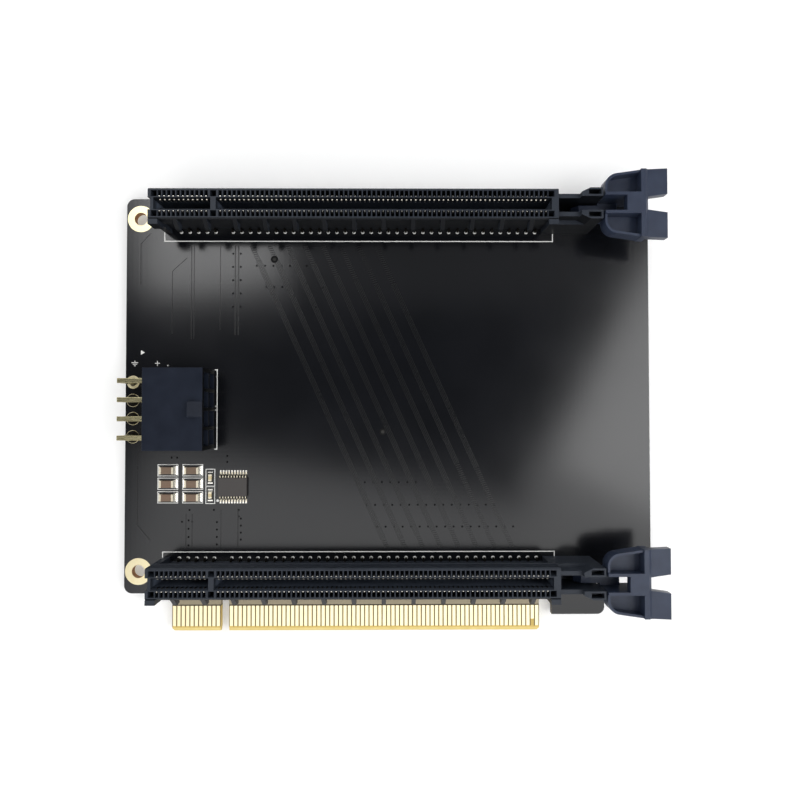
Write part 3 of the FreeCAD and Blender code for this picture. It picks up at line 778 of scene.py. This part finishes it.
tip_section = [
    (cell_inner + 0.03, cell_floor(cell_inner + 0.03)),
    (cell_inner + 0.05, slot_top - 0.05),
    (cell_inner + 0.15, slot_top - 0.06),
    (cell_inner + 0.22, slot_top - 0.16),
    (cell_inner + 0.42, cell_floor(cell_inner + 0.4)),
    (cell_inner + 0.36, cell_floor(cell_inner + 0.36)),
]
bend_section = [
    (card_slot_half + 0.12, slot_top - 0.5),
    (card_slot_half - 0.06, slot_top - 0.6),
    (card_slot_half - 0.14, slot_top - 0.9),
    (card_slot_half - 0.11, slot_top - 1.4),
    (card_slot_half + 0.02, slot_top - 2.3),
]
leg_section = [
    (stem_half - 0.03, board_top + 0.9),
    (leg_row - 0.1, board_top + 0.9),
    (leg_row + 0.14, board_top + 0.66),
    (leg_row + 0.14, board_top),
    (leg_row - 0.14, board_top),
    (leg_row - 0.14, board_top + 0.58),
    (stem_half - 0.03, board_top + 0.62),
]
joint_profile = [
    (0.44, board_top),
    (0.4, board_top + 0.06),
    (0.3, board_top + 0.16),
    (0.2, board_top + 0.28),
]
tail_profile = [
    (0.55, board_under),
    (0.4, board_under - 0.16),
    (0.24, board_under - 0.55),
    (0.2, board_under - tail_length + 0.08),
    (0.1, board_under - tail_length),
]
# Bright warm white where the flash of gold catches the light, browner down the spring.
tips_gold = two_tone_finish(
    "gold_flashed_contact_bronze", 0.9, "#d6cfbf", "#f7f4ee", (0.22, 0.38), metal, detail=2.0
)
# Pale brown gold on one row of bends; the other row is painted dark as shade.
bends_gold = two_tone_finish(
    "worn_gold_contact_bend", 0.7, "#a09a8d", "#dcd7cb", (0.25, 0.4), metal, detail=2.0
)
# Neutral silver grey, frosted as it cooled, so each joint shows one soft highlight.
wave_solder = two_tone_finish("frosted_wave_solder", 0.3, "#bfbfbc", "#ebebe8", (0.24, 0.44), metal)
# Dark brown metal with streaks of tin: painted shade on the legs under the slot's head and on one row of
# bends, and a painted dark reflection on the header's wetted pads.
painted_shade_metal = two_tone_finish("dark_metal_painted_as_shade", 0.5, "#11100e", "#2c2925", 0.5, metal)
for slot in slot_names:
    springs = bmesh.new()
    bends = {1: bmesh.new(), -1: bmesh.new()}
    legs = bmesh.new()
    joints = bmesh.new()
    for number, x in enumerate(contact_xs):
        across_x = (x - contact_width / 2, x + contact_width / 2)
        for sign in (1, -1):
            add_bar(springs, [(slot_ys[slot] + sign * y, z) for y, z in tip_section], across_x)
            add_bar(bends[sign], [(slot_ys[slot] + sign * y, z) for y, z in bend_section], across_x)
            outer = number % 2 == 1
            leg_y = slot_ys[slot] + sign * (leg_row if outer else inner_row)
            add_turned(joints, tail_profile, (x, leg_y), joint_sides)
            if outer:
                section = [(slot_ys[slot] + sign * y, z) for y, z in leg_section]
                add_bar(legs, section, (x - leg_width / 2, x + leg_width / 2))
                add_turned(joints, joint_profile, (x, leg_y), joint_sides)
    new_piece(f"{slot}_slot_contact_springs", springs, tips_gold)
    new_piece(f"{slot}_slot_contact_bends", bends[1], bends_gold)
    # The other row of bends takes the dark metal as painted shade.
    new_piece(f"{slot}_slot_shaded_bends", bends[-1], painted_shade_metal)
    # The legs take the dark metal as painted shade.
    new_piece(f"{slot}_slot_contact_legs", legs, painted_shade_metal)
    new_piece(f"{slot}_slot_solder_joints", joints, wave_solder)

# Latches: unfilled nylon levers, snapped by their trunnions into the towers at the slots' right ends.
# A touch bluer and paler than the slots, with the soft edges of a plain moulding.
latch_nylon = moulded_nylon("plain_nylon_latch", "#1f2637", "#313a4d", 0.38, 0.34)
for slot in slot_names:
    dress(f"{slot}_slot_latch", latch_nylon)
    soften(f"{slot}_slot_latch", 0.14)

# Power header: a right-angle shell of moulded nylon over eight square pins that turn down into the board. The
# shell is satin black, painted darkest at its open front as shade; the pins are flash-plated brass, soldered
# from below.
shaded_open_front = ("X", 1, 0.04)     # axis and direction of the side painted darker as shade, and the share of colour it keeps
header_nylon = moulded_nylon("moulded_nylon_header", "#151923", "#232833", 0.32, 0.09, shaded_side=shaded_open_front)
dress("power_header", header_nylon)
soften("power_header", 0.1)

# Pale greenish-gold metal with drawing lines along the wire, coarser than real so that they show.
along_wire = (0.05, 1.0, 1.0)
pin_brass = two_tone_finish(
    "flash_plated_brass_pin", 0.1, "#a0966d", "#ddd4ac", (0.2, 0.34), metal,
    drawn_out=along_wire, relief=(0.2, 0.01),
)
wetted_pins = (5, 6, 7)         # where the solder came right through onto the upper pad
cone_profile = [(1.2, board_under - plating), (0.95, board_under - 0.3), (0.72, board_under - 0.72)]
wetting_profile = [
    (header_pad_radius - 0.06, board_top + plating),
    (header_pad_radius - 0.18, board_top + 0.12),
    (0.95, board_top + 0.17),
    (0.78, board_top + 0.4),
]
cone_sides = 20
header_joints = bmesh.new()
header_wetting = bmesh.new()
for number, foot in enumerate(pin_feet, 1):
    dress(f"power_pin_{number}", pin_brass)
    soften(f"power_pin_{number}", 0.12)
    add_turned(header_joints, cone_profile, foot, cone_sides)
    if number in wetted_pins:
        add_turned(header_wetting, wetting_profile, foot, cone_sides)
new_piece("header_solder_joints", header_joints, solder)
# The wetted pads take the dark metal as a painted dark reflection of the dim ceiling.
new_piece("header_pad_wetting", header_wetting, painted_shade_metal)

# Floor: a plain white sheet that the card lies on. It reads as white to the camera and in shiny parts,
# and still takes the card's soft shadow.
floor_size = 12.0
floor_glow = (0.2, 0.6)         # beside the card and far from it
floor_far = (0.12, 0.7)         # distances at which each glow holds
fibre_size = 1.5
floor_mesh = bpy.data.meshes.new("floor")
floor_span = (-floor_size / 2, floor_size / 2)
floor_corners = [(x, y, cad_box[0][2]) for x, y in frame_points(floor_span, floor_span)]
floor_mesh.from_pydata(floor_corners, [], [(0, 1, 2, 3)])
floor = bpy.data.objects.new("floor", floor_mesh)
bpy.context.scene.collection.objects.link(floor)
# Matt white paper with a faint fibre.
sheet, tree = new_material("white_paper_sheet")
rays = add_node(tree, "LightPath", {})
seen = add_node(tree, "Math", {0: rays["Is Camera Ray"], 1: rays["Is Glossy Ray"]}, operation="MAXIMUM")
seen = add_node(tree, "Math", {0: seen[0], 1: rays["Is Transmission Ray"]}, operation="MAXIMUM")
place = add_node(tree, "TexCoord", {})
distance = add_node(tree, "VectorMath", {0: place["Object"]}, operation="LENGTH")
reach = {"Value": distance["Value"], "From Min": floor_far[0], "From Max": floor_far[1]}
spread = add_node(tree, "MapRange", {**reach, "To Min": floor_glow[0], "To Max": floor_glow[1]})
glow = add_node(tree, "Math", {0: seen[0], 1: spread["Result"]}, operation="MULTIPLY")
felted = {"Vector": place["Object"], "Scale": 1 / (fibre_size * mm), "Detail": 4.0}
fibres = add_node(tree, "TexNoise", felted)
paper = {0: fibres["Fac"], 6: linear("#e6e6e6"), 7: linear("#efefee")}
tint = add_node(tree, "Mix", paper, data_type="RGBA")
shader = add_node(
    tree,
    "BsdfPrincipled",
    {
        "Base Color": tint[2],
        "Roughness": 0.8,
        "Emission Color": linear("#ffffff"),
        "Emission Strength": glow[0],
    },
)
add_node(tree, "OutputMaterial", {"Surface": shader["BSDF"]})
floor_mesh.materials.append(sheet)

# Light: a pale room, dim straight overhead where the camera hangs, with soft panels round the card.
# The brightest hang to the right and beyond the upper left corner; the others fill in at the edges.
panel_height = 0.35
panels = {                      # x, y, width, depth, turn in degrees, brightness
    "right_panel": (0.377, -0.026, 0.34, 0.208, -27, 4.35),
    "low_right_panel": (0.229, -0.097, 0.137, 0.112, 0, 1.85),
    "far_left_panel": (-0.094, 0.192, 0.109, 0.2, 6, 4.6),
    "far_panel": (0.11, 0.13, 0.22, 0.1, 0, 0.24),
    "near_panel": (0.049, -0.246, 0.443, 0.37, -10, 1.6),
}
for name, (x, y, width, depth, turn, brightness) in panels.items():
    lamp = bpy.data.lights.new(name, "AREA")
    lamp.shape = "RECTANGLE"
    lamp.size = width
    lamp.size_y = depth
    lamp.energy = brightness * math.pi * width * depth
    panel = bpy.data.objects.new(name, lamp)
    panel.location = (x, y, panel_height)
    panel.rotation_euler = (0, 0, math.radians(turn))
    panel.visible_camera = False
    bpy.context.scene.collection.objects.link(panel)

overhead_dip = (0.45, 0.92)     # rise of the direction where the dim ceiling starts and is full
world = bpy.data.worlds.new("pale_room")
bpy.context.scene.world = world
world.use_nodes = True
world.node_tree.nodes.clear()
tree = world.node_tree
direction = add_node(tree, "TexCoord", {})
height = add_node(tree, "SeparateXYZ", {"Vector": direction["Generated"]})
ceiling = {"Value": height["Z"], "From Min": overhead_dip[0], "From Max": overhead_dip[1]}
overhead = add_node(tree, "MapRange", ceiling, interpolation_type="SMOOTHSTEP")
dim = {0: overhead["Result"], 6: linear("#ffffff"), 7: linear("#3a3d44")}
room = add_node(tree, "Mix", dim, data_type="RGBA")
background = add_node(tree, "Background", {"Color": room[2], "Strength": 1.0})
add_node(tree, "OutputWorld", {"Surface": background["Background"]})
bpy.context.scene.view_settings.view_transform = "Standard"

# Camera: hung close above the card's middle, looking straight down but for a degree of tilt, so the slots'
# inner sides show. Its frame takes in a square of about 187 mm on the table.
camera_place = (59.04, -4.43, 148.07)
camera_tilt = (0.0210, -0.0065, -0.0007)
camera_data = bpy.data.cameras.new("camera")
camera_data.sensor_width = 36
camera_data.lens = 28.52
camera_data.clip_start = 0.01
camera = bpy.data.objects.new("camera", camera_data)
camera.location = Vector(camera_place) * mm
camera.rotation_euler = camera_tilt
bpy.context.scene.collection.objects.link(camera)
bpy.context.scene.camera = camera
